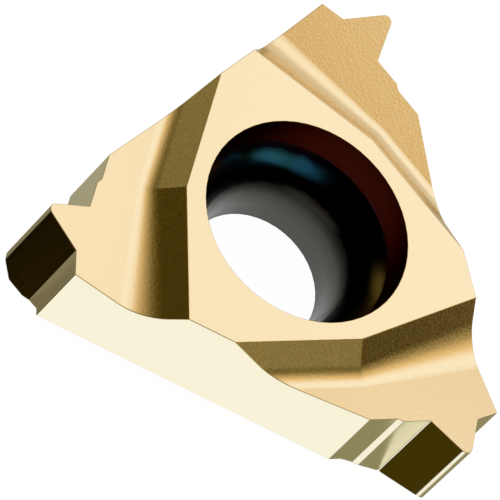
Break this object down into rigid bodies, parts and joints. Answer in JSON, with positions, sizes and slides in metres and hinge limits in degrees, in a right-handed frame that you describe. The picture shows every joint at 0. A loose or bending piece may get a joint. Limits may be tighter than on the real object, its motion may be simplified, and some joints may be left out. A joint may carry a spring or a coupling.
{
  "type": "threading insert",
  "caption": "Triangular indexable threading insert of gold-coated carbide, with a full-profile thread tooth and a chip groove at each corner and a flared hole for its clamping screw.",
  "frame": {"origin": "on the screw hole's axis, in the flat bottom face", "axes": "+Z along the hole's axis, out of its wide mouth; at the first corner the thread's axis runs along X, the tooth points along +Y and the long side that seats in the holder faces -X"},
  "size_m": [0.0126, 0.0141, 0.0037],
  "materials": {
    "coated_carbide": "gold-coloured hard coating on cemented carbide, fine-grained where pressed and smooth where ground"
  },
  "bodies": {
    "root": {"insert_body": "coated_carbide"}
  },
  "joints": []
}
